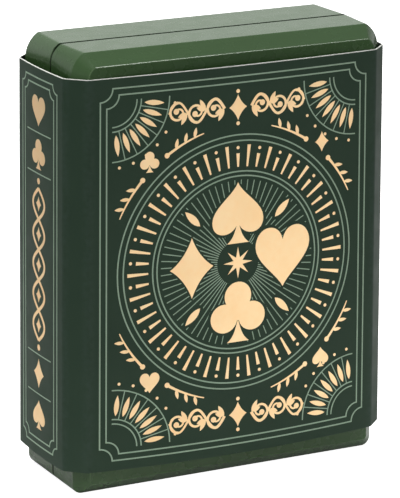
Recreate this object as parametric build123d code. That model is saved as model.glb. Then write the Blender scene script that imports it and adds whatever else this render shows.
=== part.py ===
from build123d import *
import os

# Wooden playing card box, standing on its short end. Two half shells of painted board close
# like a book on a pair of butt hinges and a pair of magnet catches, and a printed card sleeve
# is pushed over both. Inside, two packs of cards lie in a tray, one above the other, under a
# rules booklet and a foam pad. Millimetres, +Z up, the front faces -Y, and the origin is under
# the middle of the box.

# Cards and their tuck boxes
card_width = 63.0
card_length = 88.0
card_corner = 3.5
deck_thickness = 16.5
tuck_wall = 0.5
card_slack = 0.5
tuck_edge_round = 0.4
thumb_notch_radius = 9.0

# Tray that holds the packs
well_clearance = 0.5
tray_side_wall = 4.0
tray_end_wall = 1.5
tray_divider = 1.4
tray_floor = 8.0
tray_below_rim = 1.0
tray_clearance = 0.3
finger_notch_radius = 11.0
finger_notch_depth = 8.0
well_corner = 1.2

# Booklet and pad under the lid's panel
booklet_side_gap = 4.8
booklet_foot_gap = 0.3
booklet_head_gap = 6.7
booklet_thickness = 2.4
booklet_spine_round = 0.9
pad_thickness = 6.0
headroom = 2.1

# Half shells
rail_width = 9.0
panel_thickness = 5.0
rabbet_width = 3.5
base_depth = 25.5
chamfer_on_face = 4.3
chamfer_on_side = 5.0
chamfer_start_round = 0.8
chamfer_end_round = 0.6
rim_round = 0.6
parting_gap = 0.3

# Corners of a half shell at its rim, where its chamfer starts and on its flat face
rim_corner_across = 3.8
rim_corner_down = 6.5
chamfer_corner_across = 4.9
chamfer_corner_down = 8.6
face_corner_across = 2.4
face_corner_down = 4.0
rim_foot_corner = 3.2
face_foot_corner = 1.2
rim_crease_round = 1.5
face_crease_round = 0.8

# Stock left on the sides of a half shell until they are planed flat
planing_stock = 0.002

# Hinges and their screws
hinge_length = 24.0
hinge_from_end = 32.0
leaf_thickness = 0.9
leaf_width = 7.6
knuckle_radius = 1.7
knuckle_count = 3
knuckle_gap = 0.2
pin_radius = 0.8
pin_running_gap = 0.05
pin_outside_face = 0.3
hinge_recess_gap = 0.3
screw_shank_radius = 0.8
screw_head_radius = 1.6
screw_head_depth = 0.7
screw_length = 8.0
screw_from_leaf_end = 5.0
screw_from_leaf_tip = 2.8
screw_fit_gap = 0.05

# Magnet catches
magnet_radius = 3.0
magnet_thickness = 2.5
magnet_from_end = 40.0
magnet_fit_gap = 0.05

# Card sleeve round both halves
sleeve_wall = 0.45
sleeve_bottom = 9.0
sleeve_height = 137.9
sleeve_side_gap_top = 2.25
sleeve_side_gap_foot = 3.25
sleeve_face_gap = 0.3
sleeve_cut_on_face = 6.4
sleeve_cut_on_side = 6.1
sleeve_bow_top = 1.9
sleeve_bow_foot = 4.3
sleeve_side_bow = 0.8
sleeve_bend_radius = 2.5
glue_lap_width = 12.0
glue_lap_embed = 0.15

# How near to a plane an edge's middle counts as lying in it
edge_slack = 0.001

# Sizes worked out from the contents outwards
tuck_length = card_length + 2 * (card_slack + tuck_wall)
tuck_width = card_width + 2 * (card_slack + tuck_wall)
tuck_thickness = deck_thickness + 2 * (card_slack + tuck_wall)
well_length = tuck_length + 2 * well_clearance
well_width = tuck_width + 2 * well_clearance
tray_width = well_length + 2 * tray_side_wall
tray_height = 2 * well_width + tray_divider + 2 * tray_end_wall
inside_width = tray_width + 2 * tray_clearance
inside_height = tray_height + 2 * tray_clearance
inside_depth = tray_floor + tuck_thickness + headroom + booklet_thickness + pad_thickness

box_width = inside_width + 2 * rail_width
box_height = inside_height + 2 * rail_width
box_depth = inside_depth + 2 * panel_thickness
middle_z = box_height / 2
side_x = box_width / 2
base_face = box_depth / 2
lid_face = -box_depth / 2
parting = base_face - base_depth
base_rim = parting + parting_gap / 2
lid_rim = parting - parting_gap / 2
base_floor = base_face - panel_thickness
lid_floor = lid_face + panel_thickness
tray_floor_face = base_floor - tray_floor
well_middles = [middle_z + side * (well_width + tray_divider) / 2 for side in (-1, 1)]

pin_x = -(side_x + pin_outside_face)
hinge_middles = [hinge_from_end, box_height - hinge_from_end]
magnet_middles = [magnet_from_end, box_height - magnet_from_end]
magnet_x = side_x - rail_width / 2


def plate(width, height, y_from, y_to, radius=0.0, x=0.0, z=None):
    """A flat board across Y, with its four upright corners rounded."""
    outline = RectangleRounded(width, height, radius) if radius else Rectangle(width, height)
    middle = (x, y_from, middle_z if z is None else z)
    return extrude(Plane(middle, x_dir=(1, 0, 0), z_dir=(0, 1, 0)) * outline, amount=y_to - y_from)


def rod(radius, x, y, z_from, z_to):
    """An upright round bar."""
    return extrude(Pos(x, y, z_from) * Circle(radius), amount=z_to - z_from)


def disc(radius, x, z, y_from, y_to):
    """A round bar along Y."""
    axis = Plane((x, y_from, z), x_dir=(1, 0, 0), z_dir=(0, 1, 0))
    return extrude(axis * Circle(radius), amount=y_to - y_from)


def edges_at(solid, y):
    """The edges that lie in one plane across Y."""
    return solid.edges().filter_by_position(Axis.Y, y - edge_slack, y + edge_slack)


# Half shells

def facing_front(y):
    """A plane across Y at the box's middle, with X to the right and Z up."""
    return Plane((0, y, middle_z), x_dir=(1, 0, 0), z_dir=(0, -1, 0))


def shell_outline(y, inset, across, down, foot_corner, crease_round):
    """A section of one half: its upper corners run into a crease, its lower ones are squarer."""
    x, z = box_width / 2 - inset, box_height / 2 - inset
    right = make_face(Wire([
        Line((0, -z), (x - foot_corner, -z)),
        TangentArc((x - foot_corner, -z), (x, foot_corner - z), tangent=(1, 0)),
        Line((x, foot_corner - z), (x, z - down)),
        TangentArc((x, z - down), (x - across, z), tangent=(0, 1)),
        Line((x - across, z), (0, z)),
        Line((0, z), (0, -z)),
    ]))
    outline = right + mirror(right, Plane.YZ)
    return facing_front(y) * fillet(outline.vertices().filter_by_position(Axis.Y, z, z), crease_round)


def shell_block(rim, face):
    """One half before it is hollowed: rounded corners, chamfered face, eased rim, flat sides."""
    edge = face + (chamfer_on_side if rim > face else -chamfer_on_side)
    block = loft([
        shell_outline(
            rim, -planing_stock, rim_corner_across, rim_corner_down, rim_foot_corner, rim_crease_round
        ),
        shell_outline(
            edge, -planing_stock, chamfer_corner_across, chamfer_corner_down, rim_foot_corner, rim_crease_round
        ),
        shell_outline(
            face, chamfer_on_face, face_corner_across, face_corner_down, face_foot_corner, face_crease_round
        ),
    ], ruled=True)
    block = fillet(edges_at(block, face), chamfer_end_round)
    block = fillet(edges_at(block, edge), chamfer_start_round)
    block = fillet(edges_at(block, rim), rim_round)
    return block & plate(box_width, box_height, rim, face)


def shell_ring(rim, face, floor):
    """The four rails in one piece, open through the middle, rabbeted for the panel."""
    ring = shell_block(rim, face)
    ring -= plate(inside_width, inside_height, rim, face)
    ring -= plate(inside_width + 2 * rabbet_width, inside_height + 2 * rabbet_width, floor, face)
    return ring


def mitre_wedge(side, rim, face):
    """The space between two mitre planes that holds one rail."""
    reach = rail_width * 1.5
    out_x, out_z = side_x + reach, middle_z + reach
    in_x, in_z = side_x - reach, middle_z - reach
    corners = {
        "top": [(-out_x, out_z), (out_x, out_z), (in_x, in_z), (-in_x, in_z)],
        "bottom": [(-out_x, -out_z), (out_x, -out_z), (in_x, -in_z), (-in_x, -in_z)],
        "left": [(-out_x, out_z), (-in_x, in_z), (-in_x, -in_z), (-out_x, -out_z)],
        "right": [(out_x, out_z), (in_x, in_z), (in_x, -in_z), (out_x, -out_z)],
    }[side]
    outline = make_face(Polyline(*corners, close=True))
    return extrude(facing_front(rim) * outline, amount=rim - face)


def rails(rim, face, floor):
    """The four mitred rails of one half shell, by side."""
    ring = shell_ring(rim, face, floor)
    return {side: ring & mitre_wedge(side, rim, face) for side in ("top", "bottom", "left", "right")}


def panel(floor, face):
    """The board that closes one half shell, flush in its rabbet."""
    return plate(inside_width + 2 * rabbet_width, inside_height + 2 * rabbet_width, floor, face)


# Hinges, screws and magnets

def screw_points(z):
    """Where a leaf's two screws go, as x and z."""
    x = pin_x + leaf_width - screw_from_leaf_tip
    reach = hinge_length / 2 - screw_from_leaf_end
    return [(x, z - reach), (x, z + reach)]


def screw(x, z, rim, into, gap=0.0):
    """A countersunk wood screw, driven from a leaf's face into its rail."""
    head_end = rim + into * screw_head_depth
    axis = Plane((x, rim, z), x_dir=(1, 0, 0), z_dir=(0, into, 0))
    head = extrude(axis * Circle(screw_head_radius + gap), amount=screw_head_depth / 3)
    taper = loft([
        axis.offset(screw_head_depth / 3) * Circle(screw_head_radius + gap),
        axis.offset(screw_head_depth) * Circle(screw_shank_radius + gap),
    ])
    shank = disc(screw_shank_radius + gap, x, z, head_end, rim + into * (screw_length + gap))
    return head + taper + shank


def knuckle_spans(z):
    """The lower and upper end of each knuckle along one hinge."""
    length = (hinge_length - (knuckle_count - 1) * knuckle_gap) / knuckle_count
    starts = [z - hinge_length / 2 + n * (length + knuckle_gap) for n in range(knuckle_count)]
    return [(start, start + length) for start in starts]


def leaf(z, rim, into, first):
    """A hinge leaf with every second knuckle, bored for the pin and drilled for its screws."""
    back = rim + into * leaf_thickness
    clear_x = pin_x + knuckle_radius + hinge_recess_gap
    tip_x = pin_x + leaf_width
    flag = plate(tip_x - clear_x, hinge_length, rim, back, x=(clear_x + tip_x) / 2, z=z)
    for low, high in knuckle_spans(z)[first::2]:
        neck = plate(clear_x - pin_x, high - low, rim, back, x=(clear_x + pin_x) / 2, z=(low + high) / 2)
        flag += neck + rod(knuckle_radius, pin_x, parting, low, high)
    flag -= rod(pin_radius + pin_running_gap, pin_x, parting, z - hinge_length, z + hinge_length)
    for x, screw_z in screw_points(z):
        flag -= screw(x, screw_z, rim, into, screw_fit_gap)
    return flag


def hinge_pin(z):
    """The pin, as long as the row of knuckles."""
    return rod(pin_radius, pin_x, parting, z - hinge_length / 2, z + hinge_length / 2)


def hinge_recess(z, rim, into):
    """What a rail loses to a hinge: the leaf's bed, the knuckles' groove and two pilot holes."""
    bed_end = pin_x + leaf_width + screw_fit_gap
    bed = plate(bed_end - pin_x, hinge_length + 2 * hinge_recess_gap, rim,
                rim + into * leaf_thickness, x=(pin_x + bed_end) / 2, z=z)
    reach = hinge_length / 2 + hinge_recess_gap
    groove = rod(knuckle_radius + hinge_recess_gap, pin_x, parting, z - reach, z + reach)
    holes = [screw(x, screw_z, rim, into, screw_fit_gap) for x, screw_z in screw_points(z)]
    return [bed, groove] + holes


def magnets(rim, into):
    """The two catch magnets of one half, flush with its rim."""
    return [disc(magnet_radius, magnet_x, z, rim, rim + into * magnet_thickness) for z in magnet_middles]


def with_hinge_recesses(rail, rim, into):
    """The left rail, cut for both hinges."""
    for z in hinge_middles:
        for cut in hinge_recess(z, rim, into):
            rail -= cut
    return rail


def with_magnet_pockets(rail, rim, into):
    """The right rail, drilled for both magnets."""
    for z in magnet_middles:
        rail -= disc(magnet_radius + magnet_fit_gap, magnet_x, z, rim, rim + into * magnet_thickness)
    return rail


def screws(rim, into):
    """All the screws of one half, as separate solids."""
    return [screw(x, z, rim, into) for middle in hinge_middles for x, z in screw_points(middle)]


# Contents

def tray():
    """The tray: two wells over a raised floor, with finger notches beside each pack."""
    front = base_rim + tray_below_rim
    body = plate(tray_width, tray_height, front, base_floor)
    for z in well_middles:
        body -= plate(well_length, well_width, front, tray_floor_face, well_corner, z=z)
        for side in (-1, 1):
            notch_x = side * well_length / 2
            body -= disc(finger_notch_radius, notch_x, z, front, front + finger_notch_depth)
    return body


def card_deck(z):
    """One pack of cards, squared up."""
    front = tray_floor_face - tuck_wall - card_slack
    return plate(card_length, card_width, front - deck_thickness, front, card_corner, z=z)


def tuck_box(z):
    """A card pack's own box, with a thumb notch at its right end."""
    front = tray_floor_face - tuck_thickness
    body = plate(tuck_length, tuck_width, front, tray_floor_face, z=z)
    body = fillet(body.edges().filter_by(Axis.X), tuck_edge_round)
    body -= plate(tuck_length - 2 * tuck_wall, tuck_width - 2 * tuck_wall,
                  front + tuck_wall, tray_floor_face - tuck_wall, z=z)
    return body - disc(thumb_notch_radius, tuck_length / 2, z, front, front + 2 * tuck_wall)


def rules_booklet():
    """The booklet, standing on the bottom rail in front of the pad, with its folded spine left."""
    front = lid_floor + pad_thickness
    width = inside_width - 2 * booklet_side_gap
    foot = rail_width + booklet_foot_gap
    head = box_height - rail_width - booklet_head_gap
    body = plate(width, head - foot, front, front + booklet_thickness, z=(foot + head) / 2)
    spine = body.edges().filter_by(Axis.Z).sort_by(Axis.X)[:2]
    return fillet(spine, booklet_spine_round)


def lid_pad():
    """The foam pad glued behind the lid's panel."""
    return plate(tray_width, tray_height, lid_floor, lid_floor + pad_thickness)


# Sleeve

def sleeve_section(side_gap, bow):
    """The sleeve's outer outline from above: eight panels, bowed ones between cut corners."""
    x = side_x + side_gap + sleeve_wall
    y = base_face + sleeve_face_gap + sleeve_wall
    face_x = x - sleeve_cut_on_face
    side_y = y - sleeve_cut_on_side
    outline = [
        ThreePointArc((-face_x, -y), (0, -y - bow), (face_x, -y)),
        Line((face_x, -y), (x, -side_y)),
        ThreePointArc((x, -side_y), (x + sleeve_side_bow, 0), (x, side_y)),
        Line((x, side_y), (face_x, y)),
        ThreePointArc((face_x, y), (0, y + bow), (-face_x, y)),
        Line((-face_x, y), (-x, side_y)),
        ThreePointArc((-x, side_y), (-x - sleeve_side_bow, 0), (-x, -side_y)),
        Line((-x, -side_y), (-face_x, -y)),
    ]
    section = make_face(Wire(outline))
    return fillet(section.vertices(), sleeve_bend_radius)


def lap_section(section):
    """The strip of card inside the right side panel, where the band's ends are glued."""
    layer = offset(section, glue_lap_embed - sleeve_wall) - offset(section, -2 * sleeve_wall)
    side_y = base_face + sleeve_face_gap + sleeve_wall - sleeve_cut_on_side
    middle_y = side_y - sleeve_bend_radius - glue_lap_width / 2
    return layer & (Pos(side_x, middle_y) * Rectangle(rail_width, glue_lap_width))


def foot_to_top(low, high):
    """The solid between a flat shape at the sleeve's foot and one at its top."""
    top = sleeve_bottom + sleeve_height
    return loft([Pos(0, 0, sleeve_bottom) * low, Pos(0, 0, top) * high], ruled=True)


def card_sleeve():
    """The closed band of card, open above and below, a little wider and more bowed at its foot."""
    foot = sleeve_section(sleeve_side_gap_foot, sleeve_bow_foot)
    top = sleeve_section(sleeve_side_gap_top, sleeve_bow_top)
    inside = foot_to_top(offset(foot, -sleeve_wall), offset(top, -sleeve_wall))
    return foot_to_top(foot, top) - inside + foot_to_top(lap_section(foot), lap_section(top))


# Every node by name

def build_nodes():
    base = rails(base_rim, base_face, base_floor)
    lid = rails(lid_rim, lid_face, lid_floor)
    base["left"] = with_hinge_recesses(base["left"], base_rim, 1)
    lid["left"] = with_hinge_recesses(lid["left"], lid_rim, -1)
    base["right"] = with_magnet_pockets(base["right"], base_rim, 1)
    lid["right"] = with_magnet_pockets(lid["right"], lid_rim, -1)

    nodes = {f"base_{side}_rail": rail for side, rail in base.items()}
    nodes.update({f"lid_{side}_rail": rail for side, rail in lid.items()})
    nodes["base_back_panel"] = panel(base_floor, base_face)
    nodes["lid_front_panel"] = panel(lid_floor, lid_face)
    for place, z in zip(("lower", "upper"), hinge_middles):
        nodes[f"hinge_{place}_base_leaf"] = leaf(z, base_rim, 1, 0)
        nodes[f"hinge_{place}_lid_leaf"] = leaf(z, lid_rim, -1, 1)
        nodes[f"hinge_{place}_pin"] = hinge_pin(z)
    nodes["hinge_base_screws"] = Compound(children=screws(base_rim, 1))
    nodes["hinge_lid_screws"] = Compound(children=screws(lid_rim, -1))
    nodes["base_magnets"] = Compound(children=magnets(base_rim, 1))
    nodes["lid_magnets"] = Compound(children=magnets(lid_rim, -1))
    nodes["card_tray"] = tray()
    for place, z in zip(("lower", "upper"), well_middles):
        nodes[f"tuck_box_{place}"] = tuck_box(z)
        nodes[f"card_deck_{place}"] = card_deck(z)
    nodes["rules_booklet"] = rules_booklet()
    nodes["lid_pad"] = lid_pad()
    nodes["card_sleeve"] = card_sleeve()
    return nodes


os.makedirs("parts", exist_ok=True)
for name, shape in build_nodes().items():
    export_step(shape, f"parts/{name}.step")
print(f"box {box_width:.2f} x {box_depth:.2f} x {box_height:.2f} mm")
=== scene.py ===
import math

import bpy
from mathutils import Matrix, Vector, geometry, noise


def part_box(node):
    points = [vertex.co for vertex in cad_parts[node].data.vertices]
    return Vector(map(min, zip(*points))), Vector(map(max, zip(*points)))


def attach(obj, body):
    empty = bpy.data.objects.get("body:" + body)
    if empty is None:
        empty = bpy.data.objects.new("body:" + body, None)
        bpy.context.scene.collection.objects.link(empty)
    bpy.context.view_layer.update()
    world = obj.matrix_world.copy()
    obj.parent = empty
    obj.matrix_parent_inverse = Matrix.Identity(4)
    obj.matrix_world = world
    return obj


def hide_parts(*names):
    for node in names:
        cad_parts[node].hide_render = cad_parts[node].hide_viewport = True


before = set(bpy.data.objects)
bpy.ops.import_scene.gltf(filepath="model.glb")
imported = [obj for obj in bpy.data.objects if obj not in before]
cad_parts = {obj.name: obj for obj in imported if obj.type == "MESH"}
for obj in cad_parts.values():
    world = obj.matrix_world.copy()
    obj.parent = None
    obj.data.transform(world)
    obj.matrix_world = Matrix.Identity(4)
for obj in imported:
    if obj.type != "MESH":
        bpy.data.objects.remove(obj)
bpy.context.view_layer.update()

# Painted wooden playing card box in its printed card sleeve. Shapes are worked out in
# millimetres and turned into metres where they become meshes.
MM = 0.001
SLOT_OF = {name: node.data.materials[0].name for name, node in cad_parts.items()}

# Camera, fitted to the edges of the box and the sleeve
CAMERA_AZIMUTH = math.radians(-27.27)
CAMERA_ELEVATION = math.radians(16.0)
CAMERA_ROLL = math.radians(0.35)
CAMERA_DISTANCE = 1139.7
CAMERA_TARGET = Vector((-0.66, 0.0, 75.82))
CAMERA_LENS = 234.99

# Card sleeve
SIDE_BOW = 0.8
BOW_AT_FOOT = 4.3
BOW_AT_TOP = 1.9
DRAWN_IN_AT_TOP = 1.0
CUT_ON_FACE = 6.4
CUT_ON_SIDE = 6.1
FOLD_REACH = 1.0
FOLD_STEPS = 6
CARD_THICKNESS = 0.39
CUT_BURR = 0.2
CARD_STEP = 2.0
PRINT_ROOM = 0.06
PRINT_RISE = 0.04
PRINT_SINK = 0.01
PRINT_STEP = 2.5
BUCKLE = 0.07
BUCKLE_SIZE = 35.0
LAP_WIDTH = 12.0
LAP_FROM_FOLD = 2.5

SLEEVE_LOW, SLEEVE_HIGH = [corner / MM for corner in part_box("card_sleeve")]
FOOT, TOP = SLEEVE_LOW.z, SLEEVE_HIGH.z
HALF_X = SLEEVE_HIGH.x - SIDE_BOW - PRINT_ROOM
HALF_Y = SLEEVE_HIGH.y - BOW_AT_FOOT - PRINT_ROOM
FACE_X = HALF_X - CUT_ON_FACE - DRAWN_IN_AT_TOP / 2
SIDE_Y = HALF_Y - CUT_ON_SIDE

# Where the two half shells meet, how high they stand, and the shine of their paint
PARTING = -2.0
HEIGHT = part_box("base_top_rail")[1].z / MM
PAINT_SHINE = 0.35

# Print: its thin lines, and the double frame round each panel
LINE = 0.5
LINE_GAP = 2.3
FRAME_ON_FACE = 4.3
FRAME_ON_SIDE = 4.2
FRAME_FROM_EDGE = 3.6
FRAME_LOW, FRAME_HIGH = FOOT + FRAME_FROM_EDGE, TOP - FRAME_FROM_EDGE
FRAME_MIDDLE = (FRAME_LOW + FRAME_HIGH) / 2
FACE_NOTCH = 4.5
SIDE_NOTCH = 3.0

# Medallion on the front: places are distances from its middle
RING_RADII = (30.6, 32.2, 42.9, 45.0)
RAYS = 60
RAYS_FROM, RAYS_TO = 33.8, 41.4
RAY_WIDTH = 1.3
STAR_LONG, STAR_SHORT = 5.6, 1.9
STAR_POINTS = 8
PIPS_AT = 17.6
PIP_SIZE = 21.5
LEAVES_AT = 20.5
LEAF_LENGTH, LEAF_WIDTH = 8.0, 3.4
HATCH_LINES = 72
HATCH_FROM, HATCH_TO = 8.0, 29.2
HATCH_WIDTH = 0.34

# Rings of rays: how far the short ones reach, and the dot past each of them
SHORT_RAY = 0.62
RAY_DOT_FROM_END, RAY_DOT = 0.9, 0.6

# Bare card kept round the medallion's gold, so that the hatching stops short of it
PIP_CLEARED = 24.0
STALK_DOWN, STALK_CLEARED = 7.6, 5.0
STAR_CLEARED = (8.0, 4.0)
LEAF_CLEARED_FROM = 18.8
LEAF_CLEARED = (11.2, 6.6)

# Round the medallion: pips between sprigs, fans in the corners, scrolls above and below
SPANDREL_PIP_AT, SPANDREL_PIP_SIZE = 51.2, 7.2
SPANDREL_TOWARDS = (0.65, 0.76)
SPRIG_AT = 48.6
SPRIG_FROM, SPRIG_OVER = 7.0, 18.0
SPRIG_LEAF_LENGTH, SPRIG_LEAF_WIDTH = 3.6, 1.7
FAN_FROM_FRAME = 2.0
FAN_RADII = (9.0, 10.6, 21.0)
FAN_PETALS = 7
PETALS_AT, PETAL_LENGTH, PETAL_WIDTH = 11.8, 7.4, 2.4
FAN_DOTS_AT, FAN_DOT = 23.2, 0.55
SCROLL_LENGTH, SCROLL_HEIGHT, SCROLL_WAVES, SCROLL_WIDTH = 21.0, 3.7, 3, 1.1
SCROLL_AT = 54.6
SCROLL_FROM_MIDDLE = 5.2
SCROLL_DIAMOND_SIZE = 9.0
SCROLL_DOTS_AT, SCROLL_DOT = 5.6, 0.7

# Side panels, up and down from their middles
SIDE_PIPS = (("heart", 54.0), ("club", 39.0), ("diamond", -39.0), ("spade", -54.0))
SIDE_PIP_SIZE = 10.5
TWIST_REACH, TWIST_WAVES, TWIST_WIDTH = 4.6, 5, 1.25
TWIST_END = 27.0
TWIST_DOT_AT, TWIST_DOT = 29.6, 1.1
SIDE_RULES_AT = (46.5, 32.2)
SIDE_RULE_INSET = 4.5

# Back panel: a lattice round a disc
LATTICE_PITCH = 9.6
LATTICE_FROM_FRAME = 3.0
KNOT_SIZE = 3.0
THREAD_GAP = 0.2
DISC_CLEARED = 33.0
DISC_RADII = (24.0, 26.0)
DISC_RAYS = 48
DISC_RAYS_FROM, DISC_RAYS_TO = 15.6, 22.6
DISC_RAY_WIDTH = 0.9
DISC_PIP_SIZE = 22.0

# Pad: how it is divided, the width of its eased edge, and shares of its depth
PAD_COLUMNS, PAD_ROWS = 46, 58
PAD_LUMPS_ACROSS, PAD_LUMPS_UP = 9, 12
PAD_ROUNDING = 2.2
PAD_EDGE = 0.45
PAD_CROWN_LOST = 0.10
PAD_QUILTING = 0.02
PAD_SINK = 0.03

# Surroundings: how bright they are as a light and when mirrored, and where that changes
WORLD_LIGHT = 0.3
WORLD_MIRRORED_LOW = 1.04
WORLD_MIRRORED_HIGH = 0.75
WORLD_BAND = (0.31, 0.37)
WORLD_DIM_LEFT = 0.72
WORLD_LEFT = (-0.45, 0.2)

# Floor: its spots, each with a middle, a reach and a fade, and how brightly they glow
FLOOR_REACH = 4000.0
ROOM_FLOOR = (0.2, 0.2, 0.2)
SHEET_WHITE = (0.85, 0.85, 0.85)
SHEET = ((250.0, 350.0, 0.0), 300.0, 400.0)
SHADE = ((0.0, -60.0, 0.0), 60.0, 160.0)
FRONT_SPOT = ((150.0, -290.0, 0.0), 80.0, 130.0)
FOOT_SHEET = ((20.0, -90.0, 0.0), 90.0, 60.0)
SHEET_GLOW = 0.85
SHEET_MIRRORED_GLOW = 0.36
FRONT_MIRRORED_GLOW = 1.05
FOOT_SHEET_LIGHT = 0.11

# Lamps
TOP_SOFTBOX = {
    "place": (-300, -170, 880), "aim": (0, 0, 100), "width": 700, "height": 500, "power": 7.0,
}
BACK_SOFTBOX = {
    "place": (180, 640, 560), "aim": (0, 0, 120), "width": 500, "height": 400, "power": 5.0,
}
EDGE_SOFTBOX = {
    "place": (441, -631, 800), "aim": (0, 0, 150), "width": 160, "height": 160, "power": 6.0,
}


# Materials

class Nodes:
    """A node tree, with short calls for the few kinds that are used here."""

    def __init__(self, tree):
        self.tree = tree

    def node(self, kind, **settings):
        made = self.tree.nodes.new(kind)
        for name, value in settings.items():
            setattr(made, name, value)
        return made

    def link(self, source, target):
        self.tree.links.new(source, target)

    def span(self, value, low, high, to_low, to_high):
        """A value carried from one range to another and held at its ends."""
        made = self.node("ShaderNodeMapRange")
        for name, number in (("From Min", low), ("From Max", high), ("To Min", to_low), ("To Max", to_high)):
            made.inputs[name].default_value = number
        self.link(value, made.inputs["Value"])
        return made.outputs["Result"]

    def parts(self, vector):
        """The X, Y and Z of a vector, by name."""
        made = self.node("ShaderNodeSeparateXYZ")
        self.link(vector, made.inputs[0])
        return made.outputs

    def unsigned(self, value):
        """A value without its sign."""
        made = self.node("ShaderNodeMath", operation="ABSOLUTE")
        self.link(value, made.inputs[0])
        return made.outputs["Value"]

    def math(self, operation, first, second):
        made = self.node("ShaderNodeMath", operation=operation)
        self.link(first, made.inputs[0])
        self.link(second, made.inputs[1])
        return made.outputs["Value"]

    def times(self, first, second):
        return self.math("MULTIPLY", first, second)

    def plus(self, first, second):
        return self.math("ADD", first, second)


class Finish(Nodes):
    """A material: a plain surface that its tints, roughness and relief then vary."""

    def __init__(self, name, color, roughness, metallic=0.0, specular=0.5, coat=0.0):
        self.material = bpy.data.materials.new(name)
        self.material.use_nodes = True
        super().__init__(self.material.node_tree)
        self.shader = self.tree.nodes["Principled BSDF"]
        self.shader.inputs["Base Color"].default_value = (*color, 1.0)
        self.shader.inputs["Roughness"].default_value = roughness
        self.shader.inputs["Metallic"].default_value = metallic
        self.shader.inputs["Specular IOR Level"].default_value = specular
        self.shader.inputs["Coat Weight"].default_value = coat
        self.color = color
        self.roughness = roughness
        self.place = self.node("ShaderNodeTexCoord").outputs["Object"]

    def noise(self, size, stretch=(1, 1, 1), detail=4.0):
        """Noise whose lumps are about size millimetres, drawn out along an axis by stretch."""
        mapping = self.node("ShaderNodeMapping")
        mapping.inputs["Scale"].default_value = [1 / (size * MM * share) for share in stretch]
        self.link(self.place, mapping.inputs["Vector"])
        made = self.node("ShaderNodeTexNoise")
        made.inputs["Scale"].default_value = 1.0
        made.inputs["Detail"].default_value = detail
        self.link(mapping.outputs["Vector"], made.inputs["Vector"])
        return made.outputs["Fac"]

    def tint(self, mask, color):
        """Moves the base colour towards another where the mask is 1."""
        mix = self.node("ShaderNodeMix", data_type="RGBA")
        base = self.shader.inputs["Base Color"]
        if base.is_linked:
            self.link(base.links[0].from_socket, mix.inputs[6])
        else:
            mix.inputs[6].default_value = (*self.color, 1.0)
        mix.inputs[7].default_value = (*color, 1.0)
        self.link(mask, mix.inputs[0])
        self.link(mix.outputs[2], base)

    def rough(self, value, change):
        """Lets the roughness vary with a value from 0 to 1."""
        low, high = self.roughness - change, self.roughness + change
        self.link(self.span(value, 0.3, 0.7, low, high), self.shader.inputs["Roughness"])

    def bump(self, value, height, strength=1.0):
        """Relief of a height in millimetres, on top of what the material already has."""
        made = self.node("ShaderNodeBump")
        made.inputs["Distance"].default_value = height * MM
        made.inputs["Strength"].default_value = strength
        self.link(value, made.inputs["Height"])
        normal = self.shader.inputs["Normal"]
        if normal.is_linked:
            self.link(normal.links[0].from_socket, made.inputs["Normal"])
        self.link(made.outputs["Normal"], normal)

    def near(self, axis, position, reach, soft):
        """1 within reach of a position along an axis, in millimetres, fading to 0 over soft."""
        off = self.node("ShaderNodeMath", operation="SUBTRACT")
        self.link(self.parts(self.place)[axis], off.inputs[0])
        off.inputs[1].default_value = position * MM
        return self.span(self.unsigned(off.outputs["Value"]), reach * MM, (reach + soft) * MM, 1.0, 0.0)

    def within(self, centre, reach, soft):
        """1 within reach of a point, in millimetres, fading to 0 over soft."""
        away = self.node("ShaderNodeVectorMath", operation="DISTANCE")
        self.link(self.place, away.inputs[0])
        away.inputs[1].default_value = Vector(centre) * MM
        return self.span(away.outputs["Value"], reach * MM, (reach + soft) * MM, 1.0, 0.0)

    def facing(self, low, high, soft=0.05):
        """Near 1 where the surface turns towards the front or back by a share from low to high."""
        turned = self.unsigned(self.parts(self.node("ShaderNodeNewGeometry").outputs["Normal"])["Y"])
        rise = self.span(turned, low - soft, low + soft, 0.0, 1.0)
        fall = self.span(turned, high - soft, high + soft, 1.0, 0.0)
        return self.times(rise, fall)


def green_paint():
    """Satin paint over sanded board: grain, uneven sheen, worn edges with a painted highlight, a seam in
    painted shade.
    """
    finish = Finish("satin_green_paint", (0.038, 0.084, 0.027), 0.27)
    grain = finish.noise(0.9, (22, 1, 22))
    finish.tint(finish.span(finish.noise(30.0), 0.35, 0.7, 0.0, 0.35), (0.032, 0.072, 0.023))
    finish.tint(finish.span(grain, 0.45, 0.75, 0.0, 0.3), (0.046, 0.098, 0.033))
    # Paler paint on the rounded edges: partly worn paint, partly a painted highlight along them.
    edge_wear_and_highlight = finish.times(finish.facing(0.78, 0.95), finish.span(finish.noise(4.0), 0.35, 0.6, 0.3, 1.0))
    finish.tint(edge_wear_and_highlight, (0.08, 0.14, 0.06))
    # Painted shade in the seam between the two halves, darkened almost to black, and wider with no shine
    # where it crosses the top.
    finish.tint(finish.near("Y", PARTING, 0.25, 0.35), (0.003, 0.006, 0.002))
    seam_shade_on_top = finish.times(finish.near("Y", PARTING, 0.6, 0.4), finish.near("Z", HEIGHT, 1.5, 1.5))
    finish.tint(seam_shade_on_top, (0.006, 0.014, 0.005))
    shine = finish.span(seam_shade_on_top, 0.0, 1.0, PAINT_SHINE, 0.0)
    finish.link(shine, finish.shader.inputs["Specular IOR Level"])
    finish.rough(finish.noise(6.0), 0.025)
    finish.bump(grain, 0.012, 0.5)
    finish.bump(finish.noise(1.6), 0.004, 0.6)
    return finish.material


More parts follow.
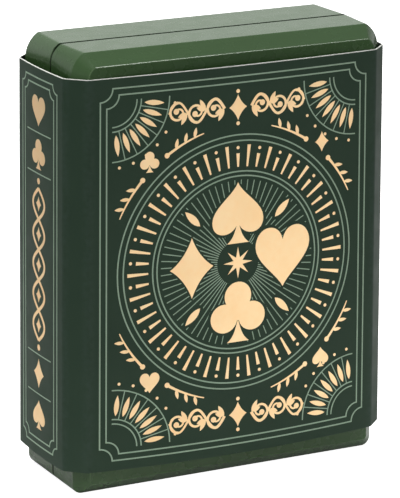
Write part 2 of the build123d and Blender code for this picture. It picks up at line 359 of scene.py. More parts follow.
def sleeve_card():
    """Dark green matte laminate over card: faint fibres, a mottled sheen, rubbed folds."""
    finish = Finish("laminated_card", (0.031, 0.056, 0.036), 0.5, specular=0.1)
    finish.tint(finish.span(finish.noise(22.0), 0.35, 0.7, 0.0, 0.4), (0.023, 0.044, 0.028))
    finish.tint(finish.span(finish.noise(0.5, (1, 1, 9)), 0.5, 0.8, 0.0, 0.25), (0.036, 0.060, 0.041))
    fold = finish.node("ShaderNodeAttribute", attribute_name="fold").outputs["Fac"]
    rubbed = finish.times(fold, finish.span(finish.noise(2.0), 0.35, 0.7, 0.0, 0.6))
    finish.tint(rubbed, (0.045, 0.07, 0.055))
    finish.tint(finish.near("Z", TOP, CUT_BURR, 0.05), (0.75, 0.76, 0.71))
    finish.rough(finish.noise(8.0), 0.05)
    finish.bump(finish.noise(0.35), 0.008, 0.5)
    return finish.material


def card_core():
    """The pale board that shows on the sleeve's cut edges."""
    finish = Finish("card_core", (0.86, 0.87, 0.82), 0.8)
    finish.tint(finish.span(finish.noise(0.4, (4, 4, 1)), 0.4, 0.7, 0.0, 0.5), (0.68, 0.69, 0.64))
    finish.bump(finish.noise(0.2), 0.02)
    return finish.material


def card_inside():
    """The sleeve's uncoated inner side."""
    finish = Finish("card_inside", (0.02, 0.026, 0.022), 0.85, specular=0.2)
    finish.tint(finish.span(finish.noise(0.6), 0.4, 0.7, 0.0, 0.5), (0.03, 0.036, 0.031))
    finish.bump(finish.noise(0.3), 0.02)
    return finish.material


def gold_foil():
    """Hot stamped foil, a little uneven in tone and gloss."""
    finish = Finish("stamped_foil", (1.0, 0.74, 0.43), 0.52, metallic=0.9)
    finish.tint(finish.span(finish.noise(14.0), 0.4, 0.66, 0.0, 0.35), (0.95, 0.62, 0.30))
    finish.rough(finish.noise(2.5), 0.08)
    finish.bump(finish.noise(0.8), 0.006, 0.6)
    return finish.material


def sage_ink():
    """Flat sage line ink, slightly broken by the laminate's texture."""
    finish = Finish("sage_line_ink", (0.33, 0.45, 0.33), 0.55, specular=0.3)
    finish.tint(finish.span(finish.noise(0.5), 0.45, 0.75, 0.0, 0.4), (0.24, 0.34, 0.25))
    finish.bump(finish.noise(0.35), 0.006, 0.5)
    return finish.material


def brushed_metal(name, color, roughness):
    """Rolled or plated metal with fine brushing."""
    finish = Finish(name, color, roughness, metallic=1.0)
    brushing = finish.noise(0.12, (1, 1, 40))
    finish.tint(finish.span(finish.noise(3.0), 0.4, 0.7, 0.0, 0.5), [part * 0.8 for part in color])
    finish.rough(brushing, 0.08)
    finish.bump(brushing, 0.004, 0.6)
    return finish.material


def board(name, color, fibre):
    """Uncoated board or paper with fibres of a size in millimetres."""
    finish = Finish(name, color, 0.82, specular=0.25)
    fibres = finish.span(finish.noise(fibre, (5, 5, 1)), 0.4, 0.75, 0.0, 0.6)
    finish.tint(fibres, [part * 0.75 for part in color])
    finish.tint(finish.span(finish.noise(18.0), 0.35, 0.7, 0.0, 0.3), [part * 0.9 for part in color])
    finish.bump(finish.noise(fibre), 0.015)
    return finish.material


def tuck_card(name, color):
    """Gloss printed card of a pack's own box."""
    finish = Finish(name, color, 0.3, coat=0.3)
    finish.tint(finish.span(finish.noise(9.0), 0.35, 0.7, 0.0, 0.35), [part * 0.8 for part in color])
    finish.rough(finish.noise(4.0), 0.05)
    finish.bump(finish.noise(0.5), 0.006)
    return finish.material


def playing_cards():
    """The edges of a squared pack: one pale line for each card."""
    finish = Finish("card_edges", (0.86, 0.84, 0.78), 0.5)
    layers = finish.noise(0.3, (60, 1, 60), 1.0)
    finish.tint(finish.span(layers, 0.45, 0.65, 0.0, 0.6), (0.5, 0.48, 0.43))
    finish.bump(layers, 0.05)
    return finish.material


def felt():
    """Dense dark felt over foam."""
    finish = Finish("dark_felt", (0.03, 0.05, 0.035), 0.95, specular=0.1)
    finish.shader.inputs["Sheen Weight"].default_value = 0.6
    finish.tint(finish.span(finish.noise(0.3), 0.4, 0.7, 0.0, 0.8), (0.055, 0.085, 0.06))
    finish.bump(finish.noise(0.25), 0.12)
    return finish.material


NODE_MATERIALS = {
    "green_paint": green_paint(),
    "hinge_brass": brushed_metal("rolled_brass", (0.80, 0.58, 0.25), 0.32),
    "pin_steel": brushed_metal("drawn_steel", (0.56, 0.57, 0.58), 0.3),
    "magnet_nickel": brushed_metal("nickel_plate", (0.70, 0.69, 0.66), 0.22),
    "tray_board": board("wrapped_board", (0.018, 0.02, 0.018), 0.5),
    "booklet_paper": board("cream_paper", (0.80, 0.78, 0.72), 0.4),
    "tuck_card_red": tuck_card("red_gloss_card", (0.36, 0.02, 0.02)),
    "tuck_card_blue": tuck_card("blue_gloss_card", (0.02, 0.05, 0.24)),
    "playing_cards": playing_cards(),
}
PAD_FELT = felt()
SLEEVE_CARD = sleeve_card()
CARD_CORE = card_core()
CARD_INSIDE = card_inside()
INKS = {"gold_foil": gold_foil(), "sage_ink": sage_ink()}


def dress_cad_nodes():
    """Gives every node that isn't replaced the finish of its slot."""
    for name, slot in SLOT_OF.items():
        if slot in NODE_MATERIALS:
            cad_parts[name].data.materials[0] = NODE_MATERIALS[slot]


# Pieces

def add_piece(name, corners, faces, materials, body, kinds=None, crease=30.0):
    """A mesh from corners in millimetres, riding on a body, with its faces' material numbers."""
    data = bpy.data.meshes.new(name)
    data.from_pydata([Vector(corner) * MM for corner in corners], [], faces)
    for material in materials:
        data.materials.append(material)
    if kinds:
        data.polygons.foreach_set("material_index", kinds)
    data.shade_smooth()
    data.set_sharp_from_angle(angle=math.radians(crease))
    data.update()
    piece = bpy.data.objects.new(name, data)
    bpy.context.scene.collection.objects.link(piece)
    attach(piece, body)
    return piece


# The sleeve's shape from above: eight panels, counterclockwise from the front's left fold

def fold_points(half_x):
    """Where the eight folds stand, seen from above, for one half width of the sleeve."""
    face_x = half_x - CUT_ON_FACE
    front = [(-face_x, -HALF_Y), (face_x, -HALF_Y), (half_x, -SIDE_Y), (half_x, SIDE_Y)]
    return [Vector(point) for point in front] + [Vector((-x, -y)) for x, y in front]


FOLDS_AT_FOOT = fold_points(HALF_X)
FOLDS_AT_TOP = fold_points(HALF_X - DRAWN_IN_AT_TOP)


class Panel:
    """One upright panel of the sleeve, bowed out between two folds."""

    def __init__(self, number, bow_low=0.0, bow_high=0.0):
        after = (number + 1) % len(FOLDS_AT_FOOT)
        self.starts = FOLDS_AT_FOOT[number], FOLDS_AT_TOP[number]
        self.ends = FOLDS_AT_FOOT[after], FOLDS_AT_TOP[after]
        self.bows = bow_low, bow_high
        self.width = (self.starts[0].lerp(self.starts[1], 0.5) - self.ends[0].lerp(self.ends[1], 0.5)).length

    def point(self, share, z, lift=0.0):
        """A point on the outer face, at a share of the width, or lifted off it."""
        rise = (z - FOOT) / (TOP - FOOT)
        start, end = self.starts[0].lerp(self.starts[1], rise), self.ends[0].lerp(self.ends[1], rise)
        bow = self.bows[0] + (self.bows[1] - self.bows[0]) * rise
        along = (end - start).normalized()
        upright = Vector((along.y, -along.x))
        flat = start.lerp(end, share) + upright * 4 * bow * share * (1 - share)
        out = (upright - along * 4 * bow * (1 - 2 * share) / self.width).normalized()
        spot = Vector((flat.x, flat.y, z))
        lift -= buckle(spot)
        return spot + Vector((out.x, out.y, 0)) * lift

    def steps(self):
        """How many columns of faces the panel is divided into."""
        return max(2, round(self.width / CARD_STEP))


def buckle(spot):
    """How far the card sinks in at a point, as thin card never lies quite flat."""
    return BUCKLE * (0.5 + 0.5 * noise.noise(spot / BUCKLE_SIZE))


PANELS = {
    "front": Panel(0, BOW_AT_FOOT, BOW_AT_TOP),
    "front_right": Panel(1),
    "right": Panel(2, SIDE_BOW, SIDE_BOW),
    "back_right": Panel(3),
    "back": Panel(4, BOW_AT_FOOT, BOW_AT_TOP),
    "back_left": Panel(5),
    "left": Panel(6, SIDE_BOW, SIDE_BOW),
    "front_left": Panel(7),
}


def band_outline(z):
    """The sleeve's outer outline at one height, and how near each point is to a fold."""
    outline, folds = [], []
    panels = list(PANELS.values())
    for panel, following in zip(panels, panels[1:] + panels[:1]):
        first = FOLD_REACH / panel.width
        last = 1 - first
        for n in range(panel.steps()):
            outline.append(panel.point(first + (last - first) * n / panel.steps(), z))
            folds.append(1.0 if n == 0 else 0.0)
        start = panel.point(last, z)
        corner = panel.point(1.0, z)
        end = following.point(FOLD_REACH / following.width, z)
        for n in range(FOLD_STEPS):
            t = n / FOLD_STEPS
            outline.append(start * (1 - t) ** 2 + corner * 2 * t * (1 - t) + end * t * t)
            folds.append(1.0)
    return outline, folds


def drawn_in(outline, distance):
    """The outline moved inwards by a distance."""
    moved = []
    for before, point, after in zip(outline[-1:] + outline[:-1], outline, outline[1:] + outline[:1]):
        along = (after - before).normalized()
        moved.append(point - Vector((along.y, -along.x, 0)) * distance)
    return moved


def card_sleeve():
    """The band of card: printed outside, plain inside, with its pale core on both cut edges."""
    heights = round((TOP - FOOT) / CARD_STEP)
    corners, faces, kinds, folds = [], [], [], []
    for n in range(heights + 1):
        outer, near_fold = band_outline(FOOT + (TOP - FOOT) * n / heights)
        corners += outer + drawn_in(outer, CARD_THICKNESS)
        folds += near_fold + near_fold
    size = len(outer)
    for level in range(heights):
        low, high = level * 2 * size, (level + 1) * 2 * size
        for n in range(size):
            after = (n + 1) % size
            faces.append((low + n, low + after, high + after, high + n))
            faces.append((low + size + after, low + size + n, high + size + n, high + size + after))
            kinds += [0, 2]
    for n in range(size):
        after = (n + 1) % size
        edge = heights * 2 * size
        faces.append((n, n + size, after + size, after))
        faces.append((edge + n, edge + after, edge + size + after, edge + size + n))
        kinds += [1, 1]
    sleeve = add_piece("printed_sleeve", corners, faces, [SLEEVE_CARD, CARD_CORE, CARD_INSIDE],
                       "sleeve", kinds)
    sleeve.data.attributes.new("fold", "FLOAT", "POINT").data.foreach_set("value", folds)
    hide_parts("card_sleeve")


def glue_lap():
    """The tail of the band, glued inside the right side panel."""
    panel = PANELS["right"]
    last = 1 - LAP_FROM_FOLD / panel.width
    first = last - LAP_WIDTH / panel.width
    across, up = 6, round((TOP - FOOT) / CARD_STEP)
    corners, faces = [], []
    for row in range(up + 1):
        z = FOOT + (TOP - FOOT) * row / up
        shares = [first + (last - first) * n / across for n in range(across + 1)]
        corners += [panel.point(share, z, -CARD_THICKNESS) for share in shares]
        corners += [panel.point(share, z, -2 * CARD_THICKNESS) for share in reversed(shares)]
    size = 2 * (across + 1)
    for row in range(up):
        for n in range(size):
            after = (n + 1) % size
            low, high = row * size, (row + 1) * size
            faces.append((low + n, low + after, high + after, high + n))
    faces.append(tuple(reversed(range(size))))
    faces.append(tuple(range(up * size, (up + 1) * size)))
    add_piece("sleeve_glue_lap", corners, faces, [CARD_INSIDE], "sleeve")


# Flat shapes for the print, as lists of outlines in millimetres across and up

def circle(x, y, radius, steps=28):
    """Points round a circle."""
    turns = [math.tau * n / steps for n in range(steps)]
    return [(x + radius * math.cos(turn), y + radius * math.sin(turn)) for turn in turns]


def arc(x, y, radius, first, last, steps=24):
    """Points along an arc, its ends given in degrees."""
    turns = [math.radians(first + (last - first) * n / steps) for n in range(steps + 1)]
    return [(x + radius * math.cos(turn), y + radius * math.sin(turn)) for turn in turns]


def stroke(points, width=LINE, tip=None, closed=False):
    """A line drawn along points as short four-sided pieces, tapering to tip if that is given."""
    points = [Vector(point) for point in points]
    before = [points[-1] if closed else points[0] * 2 - points[1]] + points[:-1]
    after = points[1:] + [points[0] if closed else points[-1] * 2 - points[-2]]
    left, right = [], []
    for n, (a, b, c) in enumerate(zip(before, points, after)):
        first, second = (b - a).normalized(), (c - b).normalized()
        middle = (first + second).normalized()
        share = n / (len(points) - 1)
        reach = (width if tip is None else width + (tip - width) * share) / 2
        reach /= max(0.35, middle.dot(first))
        side = Vector((-middle.y, middle.x)) * reach
        left.append(b + side)
        right.append(b - side)
    pieces = []
    for n in range(len(points) if closed else len(points) - 1):
        after_n = (n + 1) % len(points)
        pieces.append([right[n], right[after_n], left[after_n], left[n]])
    return pieces


def curve(start, *handles, steps=10):
    """Points along joined cubic curves, each given by two handles and an end."""
    points = [Vector(start)]
    for n in range(0, len(handles), 3):
        ends = [Vector(handle) for handle in handles[n:n + 3]]
        points += geometry.interpolate_bezier(points[-1], *ends, steps)[1:]
    return points


def mirrored(outline):
    """The other half of an outline that runs down its own middle line."""
    return [(-point[0], point[1]) for point in reversed(outline)]


def flipped(outlines):
    """Outlines with left and right swapped."""
    return [[(-point[0], point[1]) for point in outline] for outline in outlines]


def placed(outlines, x, y, size=1.0, turn=0.0):
    """Outlines scaled, turned by degrees and moved."""
    move = Matrix.Rotation(math.radians(turn), 2)
    return [[move @ Vector(point) * size + Vector((x, y)) for point in outline] for outline in outlines]


def leaf(x, y, turn, length, width):
    """A pointed leaf from its stalk at x and y."""
    side = curve((0, 0), (0.25, 0.5), (0.65, 0.5), (1, 0), steps=8)
    outline = [(p.x * length, p.y * width) for p in side]
    outline += [(p.x * length, -p.y * width) for p in reversed(side[1:-1])]
    return placed([outline], x, y, turn=turn)


# Suit pips about their own middles, one unit high

def heart():
    half = curve((0, -0.5), (-0.1, -0.3), (-0.5, -0.05), (-0.5, 0.2),
                 (-0.5, 0.38), (-0.38, 0.5), (-0.25, 0.5), (-0.12, 0.5), (-0.03, 0.42), (0, 0.28))
    return [half[:-1] + [(0, 0.28)] + mirrored(half)[1:-1]]


def foot():
    """The flared stalk under a spade or a club."""
    half = curve((0, -0.12), (-0.05, -0.3), (-0.08, -0.42), (-0.2, -0.5), steps=8)
    return [half + mirrored(half)[:-1]]


def spade():
    half = curve((0, 0.5), (-0.08, 0.3), (-0.46, 0.12), (-0.46, -0.12),
                 (-0.46, -0.27), (-0.36, -0.34), (-0.25, -0.34), (-0.14, -0.34), (-0.04, -0.27), (0, -0.15))
    return [half[:-1] + [(0, -0.15)] + mirrored(half)[1:-1]] + foot()


def club():
    lobes = [circle(0, 0.26, 0.24), circle(-0.25, -0.09, 0.24), circle(0.25, -0.09, 0.24)]
    return lobes + [circle(0, 0.02, 0.16)] + foot()


def diamond():
    half = curve((0, 0.5), (-0.08, 0.28), (-0.22, 0.1), (-0.38, 0), (-0.22, -0.1), (-0.08, -0.28), (0, -0.5))
    return [half + mirrored(half)[1:-1]]


def double_frame(half_width, low, high, notch):
    """Two lines round a panel, with hollowed corners."""
    outlines = []
    for inset in (0.0, LINE_GAP):
        x, bottom, top = half_width - inset, low + inset, high - inset
        points = []
        for corner_x, corner_y, turn in ((x, bottom, 180), (x, top, 270), (-x, top, 0), (-x, bottom, 90)):
            points += arc(corner_x, corner_y, notch, turn, turn - 90, 10)
        outlines += stroke(points, closed=True)
    return outlines


def around(centre, degrees, radius):
    """The point at a distance and a direction from a centre."""
    turn = math.radians(degrees)
    return centre + Vector((math.cos(turn), math.sin(turn))) * radius


def corner_fan(centre, toward_x, toward_y):
    """Rays and arcs that open from a frame's corner: its lines and its petals."""
    start = {(1, 1): 0, (-1, 1): 90, (-1, -1): 180, (1, -1): 270}[(toward_x, toward_y)]
    lines, petals = [], []
    for radius in FAN_RADII:
        lines += stroke(arc(*centre, radius, start, start + 90, 16), LINE * 0.9)
    for n in range(FAN_PETALS):
        turn = start + 90 * (n + 0.5) / FAN_PETALS
        petals += leaf(*around(centre, turn, PETALS_AT), turn, PETAL_LENGTH, PETAL_WIDTH)
        petals.append(circle(*around(centre, turn, FAN_DOTS_AT), FAN_DOT, 10))
    for n in range(1, FAN_PETALS):
        turn = start + 90 * n / FAN_PETALS
        lines += stroke([around(centre, turn, radius) for radius in FAN_RADII[1:]], LINE * 0.7)
    return lines, petals


def running_scroll(length, height, waves, width):
    """A wavy stem to the right of its start, with a spiral in each bend and leaves between."""
    step = length / waves
    stem = [(length * n / 60, height * math.sin(math.pi * waves * n / 60)) for n in range(61)]
    outlines = stroke(stem, width, width * 0.6)
    for n in range(waves):
        side = 1 if n % 2 == 0 else -1
        x, y = step * (n + 0.5), side * height * 0.05
        spiral = []
        for k in range(33):
            share = k / 32
            radius = (height * 0.95) * (1 - share) + 0.9 * share
            turn = side * (math.pi / 2 - share * math.tau * 1.15)
            spiral.append((x + radius * math.cos(turn), y + radius * math.sin(turn)))
        outlines += stroke(spiral, width * 0.9, width * 0.55)
        outlines.append(circle(*spiral[-1], width * 0.95, 14))
        outlines += leaf(step * n + 0.2, 0.0, side * -62, height * 1.25, width * 2.0)
        outlines += leaf(step * n + 0.6, 0.0, side * -25, height * 0.9, width * 1.7)
    return outlines


def star(x, y, long, short, points):
    """A star with slender rays."""
    outline = []
    for n in range(points * 2):
        radius = long if n % 2 == 0 else short
        turn = math.pi / 2 + math.pi * n / points
        outline.append((x + radius * math.cos(turn), y + radius * math.sin(turn)))
    return [outline]


def sunburst(x, y, inner, outer, rays, width):
    """Wedges round a centre, by turns long and short, with a dot past each short one."""
    outlines = []
    for n in range(rays):
        turn = math.tau * n / rays
        out = Vector((math.cos(turn), math.sin(turn)))
        end = outer if n % 2 == 0 else inner + (outer - inner) * SHORT_RAY
        outlines += stroke([Vector((x, y)) + out * inner, Vector((x, y)) + out * end], width * 0.5, width)
        if n % 2:
            dot = Vector((x, y)) + out * (outer - RAY_DOT_FROM_END)
            outlines.append(circle(*dot, RAY_DOT, 10))
    return outlines


PIPS = {"spade": spade, "heart": heart, "club": club, "diamond": diamond}


def medallion(centre):
    """Four large pips on a hatched disc, ringed by rays: its gold, its lines and their margins."""
    lines, gold, margins = [], [], []
    for radius in RING_RADII:
        lines += stroke(circle(*centre, radius, 120), closed=True)
    gold += sunburst(*centre, RAYS_FROM, RAYS_TO, RAYS, RAY_WIDTH)
    gold += star(*centre, STAR_LONG, STAR_SHORT, STAR_POINTS)
    margins += star(*centre, *STAR_CLEARED, STAR_POINTS)
    for suit, turn in (("spade", 90), ("heart", 0), ("club", 270), ("diamond", 180)):
        spot = around(centre, turn, PIPS_AT)
        gold += placed(PIPS[suit](), *spot, PIP_SIZE)
        margins += placed(PIPS[suit](), *spot, PIP_CLEARED)
        if suit in ("spade", "club"):
            margins.append(circle(spot.x, spot.y - STALK_DOWN, STALK_CLEARED))
    for turn in (45, 135, 225, 315):
        gold += leaf(*around(centre, turn, LEAVES_AT), turn, LEAF_LENGTH, LEAF_WIDTH)
        margins += leaf(*around(centre, turn, LEAF_CLEARED_FROM), turn, *LEAF_CLEARED)
    for n in range(HATCH_LINES):
        turn = 360 * (n + 0.5) / HATCH_LINES
        lines += stroke([around(centre, turn, HATCH_FROM), around(centre, turn, HATCH_TO)], HATCH_WIDTH)
    return gold, lines, margins


def spandrel(centre, turn, suit):
    """A small pip outside the medallion, between two sprigs that follow its ring."""
    gold = placed(PIPS[suit](), *around(centre, turn, SPANDREL_PIP_AT), SPANDREL_PIP_SIZE)
    for side in (-1, 1):
        turns = [turn + side * (SPRIG_FROM + SPRIG_OVER * n / 16) for n in range(17)]
        sprig = [around(centre, along, SPRIG_AT) for along in turns]
        gold += stroke(sprig, 1.0, 0.4)
        gold.append(circle(*sprig[0], 0.95, 14))
        for n in (4, 8, 12):
            along = turn + side * 90
            gold += leaf(*sprig[n], along - side * 38, SPRIG_LEAF_LENGTH, SPRIG_LEAF_WIDTH)
    return gold


def front_design():
    """A rayed medallion, fans in the corners, sprigs round small pips and running scrolls."""
    half = FACE_X - FRAME_ON_FACE
    centre = Vector((0, FRAME_MIDDLE))
    lines = double_frame(half, FRAME_LOW, FRAME_HIGH, FACE_NOTCH)
    gold, hatching, margins = medallion(centre)
    lines += hatching

    fan_x = half - LINE_GAP - FAN_FROM_FRAME
    fan_y = (FRAME_HIGH - FRAME_LOW) / 2 - LINE_GAP - FAN_FROM_FRAME
    toward_x, toward_y = SPANDREL_TOWARDS
    for side, end, suit in ((1, 1, "diamond"), (-1, 1, "club"), (-1, -1, "heart"), (1, -1, "spade")):
        fan_lines, petals = corner_fan(centre + Vector((side * fan_x, end * fan_y)), -side, -end)
        lines += fan_lines
        gold += petals
        gold += spandrel(centre, math.degrees(math.atan2(end * toward_y, side * toward_x)), suit)

    scroll = running_scroll(SCROLL_LENGTH, SCROLL_HEIGHT, SCROLL_WAVES, SCROLL_WIDTH)
    scroll = placed(scroll, SCROLL_FROM_MIDDLE, 0)
    ornament = scroll + flipped(scroll) + placed(diamond(), 0, 0, SCROLL_DIAMOND_SIZE)
    ornament += [circle(0, side * SCROLL_DOTS_AT, SCROLL_DOT, 12) for side in (1, -1)]
    for end in (1, -1):
        y = centre.y + end * SCROLL_AT
        gold += [[(p[0], y + end * p[1]) for p in outline] for outline in ornament]
    return {"gold_foil": (gold, []), "sage_ink": (lines, margins)}


def guilloche(low, high, reach, waves, width):
    """Two strands that wind round each other up a panel, with a diamond in each eye."""
    outlines = []
    steps = waves * 16
    for side in (-1, 1):
        points = []
        for n in range(steps + 1):
            share = n / steps
            points.append((side * reach * math.sin(math.pi * waves * share), low + (high - low) * share))
        outlines += stroke(points, width)
    for n in range(waves):
        y = low + (high - low) * (n + 0.5) / waves
        outlines += placed(diamond(), 0, y, reach * 1.15)
    return outlines


def side_design():
    """A pip at each end of a double frame, two more beside them, and a long twisted band."""
    half = SIDE_Y - FRAME_ON_SIDE
    rule_x = half - SIDE_RULE_INSET
    lines = double_frame(half, FRAME_LOW, FRAME_HIGH, SIDE_NOTCH)
    gold = []
    for suit, y in SIDE_PIPS:
        gold += placed(PIPS[suit](), 0, FRAME_MIDDLE + y, SIDE_PIP_SIZE)
    ends = (FRAME_MIDDLE - TWIST_END, FRAME_MIDDLE + TWIST_END)
    gold += guilloche(*ends, TWIST_REACH, TWIST_WAVES, TWIST_WIDTH)
    for end in (-1, 1):
        gold.append(circle(0, FRAME_MIDDLE + end * TWIST_DOT_AT, TWIST_DOT, 16))
        for rule_y in SIDE_RULES_AT:
            y = FRAME_MIDDLE + end * rule_y
            lines += stroke([(-rule_x, y), (rule_x, y)], LINE * 0.8)
    return {"gold_foil": (gold, []), "sage_ink": (lines, [])}


def lattice(reach_x, reach_y, pitch, clear):
    """The knots of a net round a clear disc, and its threads, which stop short of the knots, as
    threads that met would spoil the triangulation."""
    across, up = int(reach_x / pitch), int(reach_y / pitch)
    knots = []
    for column in range(-across, across + 1):
        for row in range(-up, up + 1):
            knot = Vector((column * pitch, row * pitch))
            if (column + row) % 2 == 0 and knot.length >= clear:
                knots.append(knot)
    threads = []
    for knot in knots:
        for step in (Vector((pitch, pitch)), Vector((pitch, -pitch))):
            if any((knot + step - other).length < pitch / 2 for other in knots):
                threads.append([knot + step * THREAD_GAP, knot + step * (1 - THREAD_GAP)])
    return knots, threads


def back_design():
    """A lattice inside a double frame, with a large spade on a rayed disc."""
    half = FACE_X - FRAME_ON_FACE
    lines = double_frame(half, FRAME_LOW, FRAME_HIGH, FACE_NOTCH)
    gold = []
    reach_x = half - LINE_GAP - LATTICE_FROM_FRAME
    reach_y = (FRAME_HIGH - FRAME_LOW) / 2 - LINE_GAP - LATTICE_FROM_FRAME
    knots, threads = lattice(reach_x, reach_y, LATTICE_PITCH, DISC_CLEARED)
    for knot in knots:
        gold += placed(diamond(), knot.x, FRAME_MIDDLE + knot.y, KNOT_SIZE)
    for thread in threads:
        lines += stroke([(end.x, FRAME_MIDDLE + end.y) for end in thread], LINE * 0.8)
    for radius in DISC_RADII:
        lines += stroke(circle(0, FRAME_MIDDLE, radius, 90), closed=True)
    gold += sunburst(0, FRAME_MIDDLE, DISC_RAYS_FROM, DISC_RAYS_TO, DISC_RAYS, DISC_RAY_WIDTH)
    gold += placed(spade(), 0, FRAME_MIDDLE, DISC_PIP_SIZE)
    return {"gold_foil": (gold, []), "sage_ink": (lines, [])}


def counterclockwise(outline):
    """The outline's points in the order that the triangulation needs."""
    points = [(point[0], point[1]) for point in outline]
    turned = zip(points, points[1:] + points[:1])
    area = sum(a[0] * b[1] - b[0] * a[1] for a, b in turned)
    return points if area > 0 else points[::-1]


def covered(outlines, margins, half_width):
    """Triangles over the outlines but not the margins, none wide enough to leave the bowed card."""
    corners, faces = [], []
    for outline in outlines + margins:
        points = counterclockwise(outline)
        faces.append(list(range(len(corners), len(corners) + len(points))))
        corners += points
    edges = []
    columns = round(2 * half_width / PRINT_STEP)
    for n in range(columns + 1):
        x = half_width * (2 * n / columns - 1)
        edges.append((len(corners), len(corners) + 1))
        corners += [(x, FOOT), (x, TOP)]
    made = geometry.delaunay_2d_cdt([Vector(corner) for corner in corners], edges, faces, 0, 1e-5)
    spots, triangles, origins = made[0], made[2], made[5]
    kept = []
    for triangle, sources in zip(triangles, origins):
        if sources and all(source < len(outlines) for source in sources):
            kept.append(tuple(triangle))
    return spots, kept


def thin_solid(spots, triangles, panel):
    """A closed skin of print on a panel, over flat triangles."""
    used = sorted({corner for triangle in triangles for corner in triangle})
    number = {corner: n for n, corner in enumerate(used)}
    shares = [(0.5 + spots[corner].x / panel.width, spots[corner].y) for corner in used]
    corners = [panel.point(share, z, PRINT_RISE) for share, z in shares]
    corners += [panel.point(share, z, -PRINT_SINK) for share, z in shares]
    below = len(used)
    faces, directed = [], set()
    for triangle in triangles:
        a, b, c = [number[corner] for corner in triangle]
        faces += [(a, b, c), (c + below, b + below, a + below)]
        directed |= {(a, b), (b, c), (c, a)}
    for a, b in sorted(directed):
        if (b, a) not in directed:
            faces.append((a + below, b + below, b, a))
    return corners, faces


def print_on(panel_name, design):
    """The inks of one design, each as a thin solid on its panel."""
    panel = PANELS[panel_name]
    for ink, (outlines, margins) in design.items():
        spots, triangles = covered(outlines, margins, panel.width / 2 - FOLD_REACH)
        corners, faces = thin_solid(spots, triangles, panel)
        add_piece(f"{panel_name}_{ink}", corners, faces, [INKS[ink]], "sleeve")


# The pad behind the lid's panel

def lid_pad():
    """A felt covered pad: flat where it is glued, crowned towards the booklet, eased edges."""
    low, high = [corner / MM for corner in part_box("lid_pad")]
    across, up = PAD_COLUMNS, PAD_ROWS
    corners, faces = [], []
    middle, reach = (low + high) / 2, (high - low) / 2
    front, depth = low.y, high.y - low.y

    def surface(u, v):
        """Depth of the crowned face at shares from -1 to 1."""
        edge = min(1.0, (1 - abs(u)) * reach.x / PAD_ROUNDING)
        edge *= min(1.0, (1 - abs(v)) * reach.z / PAD_ROUNDING)
        ease = math.sqrt(max(0.0, 1 - (1 - edge) ** 2))
        crown = 1 - PAD_CROWN_LOST * (u * u + v * v) / 2
        lumps = noise.noise(Vector((u * PAD_LUMPS_ACROSS, v * PAD_LUMPS_UP, 0.3)))
        quilting = PAD_QUILTING * lumps
        return front + depth * (PAD_EDGE + ((1 - PAD_EDGE) * crown - PAD_SINK + quilting) * ease)

    for row in range(up + 1):
        for column in range(across + 1):
            u, v = 2 * column / across - 1, 2 * row / up - 1
            corners.append((middle.x + u * reach.x, min(high.y, surface(u, v)), middle.z + v * reach.z))
    size = across + 1
    below = len(corners)
    corners += [(x, front, z) for x, y, z in corners]
    for row in range(up):
        for column in range(across):
            a = row * size + column
            quad = (a, a + 1, a + size + 1, a + size)
            faces.append(quad[::-1])
            faces.append(tuple(corner + below for corner in quad))
    rim = list(range(size))
    rim += [row * size + across for row in range(1, up + 1)]
    rim += [up * size + n for n in reversed(range(across))]
    rim += [row * size for row in reversed(range(1, up))]
    for a, b in zip(rim, rim[1:] + rim[:1]):
        faces.append((a, b, b + below, a + below))
    pad = add_piece("felt_pad", corners, faces, [PAD_FELT], "box", crease=50.0)
    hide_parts("lid_pad")


# Floor, light and camera

def add_floor():
    """A white sheet on a dim floor: both look white to the camera, and the sheet takes a shadow."""
    signs = ((-1, -1), (1, -1), (1, 1), (-1, 1))
    corners = [(x * FLOOR_REACH, y * FLOOR_REACH, 0) for x, y in signs]
    data = bpy.data.meshes.new("floor")
    data.from_pydata([Vector(corner) * MM for corner in corners], [], [(0, 1, 2, 3)])
    floor = bpy.data.objects.new("floor", data)
    bpy.context.scene.collection.objects.link(floor)
    finish = Finish("floor", ROOM_FLOOR, 0.9, specular=0.0)
    sheet, foot = finish.within(*SHEET), finish.within(*FOOT_SHEET)
    finish.tint(sheet, SHEET_WHITE)
    finish.tint(foot, SHEET_WHITE)
    rays = finish.node("ShaderNodeLightPath").outputs
    # Glow seen only in reflections: a painted reflection of the sheet and of a spot in front, cut back near
    # the box by a painted shade.
    open_sheet = finish.times(sheet, finish.span(finish.within(*SHADE), 0.0, 1.0, SHEET_MIRRORED_GLOW, 0.0))
    front = finish.span(finish.within(*FRONT_SPOT), 0.0, 1.0, 0.0, FRONT_MIRRORED_GLOW)
    mirrored = finish.times(rays["Is Glossy Ray"], finish.plus(open_sheet, front))
    seen = finish.times(rays["Is Camera Ray"], finish.span(sheet, 0.0, 1.0, 1.0, SHEET_GLOW))
    # The patch before the foot glows for every ray: a painted floor bounce that lights the foot of the box.
    light = finish.span(foot, 0.0, 1.0, 0.0, FOOT_SHEET_LIGHT)
    glow = finish.plus(finish.plus(mirrored, seen), light)
    finish.link(glow, finish.shader.inputs["Emission Strength"])
    finish.shader.inputs["Emission Color"].default_value = (1, 1, 1, 1)
    data.materials.append(finish.material)


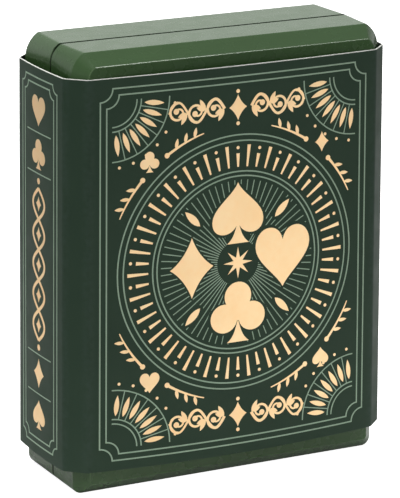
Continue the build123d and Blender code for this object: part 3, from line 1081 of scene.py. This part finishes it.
def add_world():
    """White surroundings that are dimmer as a light than they look, and uneven when mirrored."""
    world = bpy.data.worlds.new("studio")
    bpy.context.scene.world = world
    world.use_nodes = True
    sky = Nodes(world.node_tree)
    background = sky.tree.nodes["Background"]
    background.inputs["Color"].default_value = (1, 1, 1, 1)
    towards = sky.parts(sky.node("ShaderNodeTexCoord").outputs["Generated"])
    upward = sky.span(towards["Z"], *WORLD_BAND, WORLD_MIRRORED_LOW, WORLD_MIRRORED_HIGH)
    sideways = sky.span(towards["X"], *WORLD_LEFT, WORLD_DIM_LEFT, 1.0)
    rays = sky.node("ShaderNodeLightPath").outputs
    mirrored = sky.node("ShaderNodeMix")
    mirrored.inputs["A"].default_value = WORLD_LIGHT
    sky.link(rays["Is Glossy Ray"], mirrored.inputs["Factor"])
    sky.link(sky.times(upward, sideways), mirrored.inputs["B"])
    seen = sky.node("ShaderNodeMix")
    seen.inputs["B"].default_value = 1.0
    sky.link(rays["Is Camera Ray"], seen.inputs["Factor"])
    sky.link(mirrored.outputs["Result"], seen.inputs["A"])
    sky.link(seen.outputs["Result"], background.inputs["Strength"])


def add_softbox(name, place, aim, width, height, power):
    """A rectangular lamp at a place, turned towards a point, both in millimetres."""
    lamp = bpy.data.lights.new(name, "AREA")
    lamp.shape = "RECTANGLE"
    lamp.size = width * MM
    lamp.size_y = height * MM
    lamp.energy = power
    made = bpy.data.objects.new(name, lamp)
    made.location = Vector(place) * MM
    made.rotation_mode = "QUATERNION"
    made.rotation_quaternion = (Vector(aim) - Vector(place)).to_track_quat("-Z", "Y")
    bpy.context.scene.collection.objects.link(made)
    return made


def add_lights():
    """Two soft lamps that no surface mirrors, and a small one that shows only as a glint on edges."""
    add_softbox("top_softbox", **TOP_SOFTBOX).visible_glossy = False
    add_softbox("back_softbox", **BACK_SOFTBOX).visible_glossy = False
    add_softbox("edge_softbox", **EDGE_SOFTBOX).visible_diffuse = False


def add_camera():
    """The camera that was fitted to the photograph."""
    back = Vector((
        math.sin(CAMERA_AZIMUTH) * math.cos(CAMERA_ELEVATION),
        -math.cos(CAMERA_AZIMUTH) * math.cos(CAMERA_ELEVATION),
        math.sin(CAMERA_ELEVATION),
    ))
    camera = bpy.data.cameras.new("camera")
    camera.lens = CAMERA_LENS
    camera.clip_start = 0.05
    camera.clip_end = 20.0
    made = bpy.data.objects.new("camera", camera)
    made.location = (CAMERA_TARGET + back * CAMERA_DISTANCE) * MM
    made.rotation_mode = "QUATERNION"
    level = (-back).to_track_quat("-Z", "Y")
    made.rotation_quaternion = level @ Matrix.Rotation(CAMERA_ROLL, 3, "Z").to_quaternion()
    bpy.context.scene.collection.objects.link(made)
    bpy.context.scene.camera = made


dress_cad_nodes()
card_sleeve()
glue_lap()
print_on("front", front_design())
print_on("left", side_design())
print_on("right", side_design())
print_on("back", back_design())
lid_pad()
add_floor()
add_world()
add_lights()
add_camera()
bpy.context.scene.view_settings.view_transform = "Standard"
